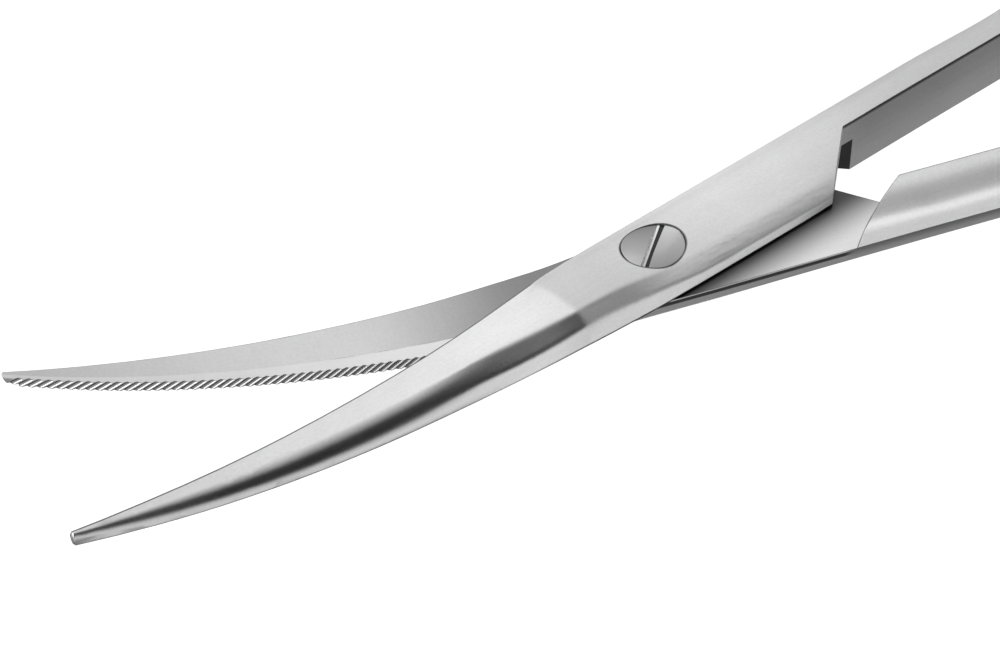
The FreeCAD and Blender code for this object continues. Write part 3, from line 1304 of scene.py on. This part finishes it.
@dataclass
class Studio:
    """Pale floor and soft light all round, as under long light tubes, with a dark gap between them."""

    plane_size: float = 3.0
    floor_height: float = -0.05 * MM
    table_height: float = -0.10 * MM
    floor_tone: float = 0.20
    floor_glow: float = 0.99
    floor_rough: float = 0.9
    table_glow: float = 0.24
    side_fall: float = 0.95
    side_level: float = 0.2
    glows: tuple[Glow, ...] = (
        Glow(-180.0, 1.05),
        Glow(-10.0, 0.98),
        Glow(10.0, 1.02),
        Glow(50.0, 1.08),
        Glow(70.0, 0.96),
        Glow(84.0, 0.44),
        Glow(98.0, 0.10),
        Glow(110.0, 0.04),
        Glow(126.0, 0.03),
        Glow(134.0, 0.08),
        Glow(146.0, 0.80),
        Glow(156.0, 1.12),
        Glow(180.0, 1.12),
    )

    def build(self) -> None:
        """Builds the floor, the table top that the steel mirrors and the light all round."""
        self._floor()
        self._table()
        self._surround()
        bpy.context.scene.view_settings.view_transform = "Standard"
        bpy.context.scene.view_settings.look = "None"

    def _plane(self, name: str, height: float, tone: float, glow: float) -> bpy.types.Object:
        """Adds a level plane.

        Args:
            name: the plane's name.
            height: its height in metres.
            tone: its own grey.
            glow: how much it glows.

        Returns:
            The plane.
        """
        clear_selection()
        bpy.ops.mesh.primitive_plane_add(size=self.plane_size, location=(0.0, 0.0, height))
        plane = bpy.context.active_object
        plane.name = name
        made, graph = new_material(name + "_matt")
        graph.surface(
            {
                "Base Color": (tone, tone, tone, 1.0),
                "Roughness": self.floor_rough,
                "Specular IOR Level": 0.0,
                "Emission Color": (1.0, 1.0, 1.0, 1.0),
                "Emission Strength": glow,
            }
        )
        plane.data.materials.append(made)
        clear_selection()
        return plane

    def _floor(self) -> None:
        """Adds the pale floor under the resting face."""
        floor = self._plane("floor", self.floor_height, self.floor_tone, self.floor_glow)
        floor.visible_glossy = False

    def _table(self) -> None:
        """Adds the darker table top that the steel mirrors instead of the floor."""
        table = self._plane("table", self.table_height, 0.0, self.table_glow)
        table.visible_camera = False
        table.visible_diffuse = False
        table.visible_shadow = False

    def _surround(self) -> None:
        """Fills the world with light that changes with the angle round the long axis."""
        world = bpy.data.worlds.new("soft_surround")
        bpy.context.scene.world = world
        world.use_nodes = True
        graph = Graph(world.node_tree)
        way = graph.node("ShaderNodeTexCoord").outputs["Generated"]
        side, depth, height = graph.axes(way)
        angle = graph.node("ShaderNodeMath", {"operation": "ARCTAN2"}, {0: height, 1: depth}).outputs[0]
        turn = Value(graph, angle) * (0.5 / math.pi) + 0.5
        stops = [
            (0.5 + glow.angle / 360.0, (glow.level, glow.level, glow.level, 1.0)) for glow in self.glows
        ]
        ramp = graph.node("ShaderNodeValToRGB", {"stops": stops}, {0: turn}).outputs[0]
        fall = 1.0 - (side - self.side_level) * self.side_fall
        sky = graph.node("ShaderNodeBackground", None, {"Color": ramp, "Strength": fall})
        graph.node("ShaderNodeOutputWorld", None, {"Surface": sky.outputs[0]})


@dataclass(frozen=True)
class Camera:
    """The viewpoint: where it stands and how it is turned, in the part's frame."""

    place: tuple[float, float, float] = (-48.252, -87.315, 115.271)
    right: tuple[float, float, float] = (0.89425, -0.44248, -0.06719)
    up: tuple[float, float, float] = (0.37909, 0.66905, 0.63927)
    lens: float = 68.4
    sensor: float = 36.0
    near: float = 0.005
    far: float = 20.0

    def build(self) -> None:
        """Adds the camera and makes it the scene's own."""
        data = bpy.data.cameras.new("view")
        data.sensor_fit = "HORIZONTAL"
        data.sensor_width = self.sensor
        data.lens = self.lens
        data.clip_start = self.near
        data.clip_end = self.far
        camera = bpy.data.objects.new("view", data)
        bpy.context.scene.collection.objects.link(camera)
        right = Vector(self.right).normalized()
        up = (Vector(self.up) - Vector(self.up).dot(right) * right).normalized()
        back = right.cross(up)
        turn = Matrix((right, up, back)).transposed()
        camera.matrix_world = Matrix.Translation(Vector(self.place) * MM) @ turn.to_4x4()
        bpy.context.scene.camera = camera


def main() -> None:
    """Builds the scissors, the studio and the camera."""
    logging.basicConfig(level=logging.INFO, format="%(name)s %(message)s")
    Scissors().build()
    Studio().build()
    Camera().build()
    bpy.context.view_layer.update()


if __name__ == "__main__":
    main()
